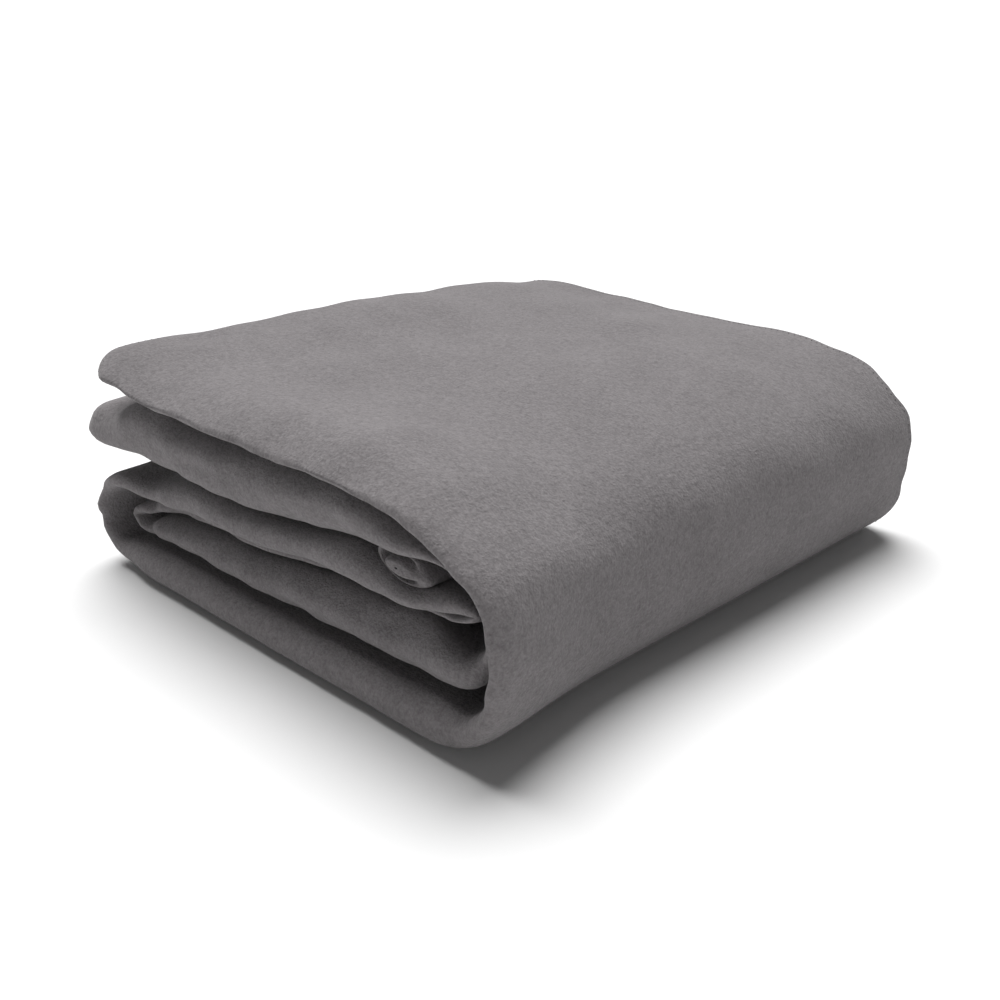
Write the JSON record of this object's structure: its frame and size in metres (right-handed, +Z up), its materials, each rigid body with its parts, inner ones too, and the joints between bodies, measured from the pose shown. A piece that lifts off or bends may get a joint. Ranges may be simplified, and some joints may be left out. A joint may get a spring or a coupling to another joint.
{
  "type": "folded throw blanket",
  "caption": "Soft grey brushed-fleece throw blanket, folded in a flat stack with a rounded spine at one side and hemmed edges at the back; its top panel opens over the spine.",
  "frame": {"origin": "centre of the folded stack's footprint, on the surface that it lies on", "axes": "+X towards the closed spine, +Y towards the loose hemmed edges at the back, +Z up"},
  "size_m": [0.283, 0.3174, 0.104],
  "materials": {
    "fleece": "brushed polyester fleece with a short matt nap",
    "hem_thread": "turned hem with a stitched thread line in the colour of the fleece"
  },
  "bodies": {
    "root": {"bottom_panel": "fleece", "inner_panel": "fleece", "return_panel": "fleece", "middle_panel": "fleece", "hidden_end_fold": "fleece", "outer_left_fold": "fleece", "inner_left_fold": "fleece", "outer_lower_bend": "fleece", "inner_lower_bend": "fleece", "lower_back_hems": "hem_thread"},
    "spine": {"outer_spine_wall": "fleece", "inner_spine_wall": "fleece", "spine_back_hems": "hem_thread"},
    "flap": {"second_panel": "fleece", "top_panel": "fleece", "outer_upper_bend": "fleece", "inner_upper_bend": "fleece", "top_end_hem": "hem_thread", "second_end_hem": "hem_thread", "upper_back_hems": "hem_thread"}
  },
  "joints": [
    {"name": "lower_spine_crease", "type": "hinge", "parent": "root", "child": "spine", "pos_m": [0.1285, 0, 0.013], "axis": [0, 1, 0], "range_deg": [0, 90], "deforming": ["outer_lower_bend", "inner_lower_bend"]},
    {"name": "upper_spine_crease", "type": "hinge", "parent": "spine", "child": "flap", "pos_m": [0.1285, 0, 0.091], "axis": [0, 1, 0], "range_deg": [0, 90], "deforming": ["outer_upper_bend", "inner_upper_bend"]}
  ],
  "couplings": [
    {"joint": "upper_spine_crease", "follows": "lower_spine_crease", "ratio": 1}
  ]
}
